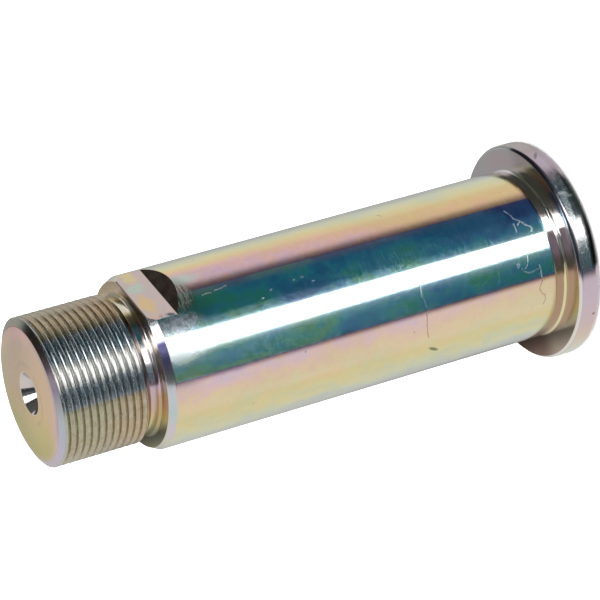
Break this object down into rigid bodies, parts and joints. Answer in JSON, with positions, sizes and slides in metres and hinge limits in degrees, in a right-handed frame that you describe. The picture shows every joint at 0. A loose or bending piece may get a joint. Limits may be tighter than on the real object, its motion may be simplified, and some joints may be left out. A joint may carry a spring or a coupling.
{
  "type": "stub axle",
  "caption": "Headed round axle pin with a plain bearing body, a milled flat at the shoulder and a threaded end with a centre hole, in bright yellow-plated steel.",
  "frame": {"origin": "centre of the head's outer face, which the axle stands on", "axes": "+Z along the turning axis from the head to the threaded end, -Y out of the milled flat, +X across it"},
  "size_m": [0.045, 0.045, 0.1155],
  "materials": {
    "plated_steel": "turned and polished steel with a bright iridescent yellow zinc plating"
  },
  "bodies": {
    "root": {"stub_axle": "plated_steel"}
  },
  "joints": []
}
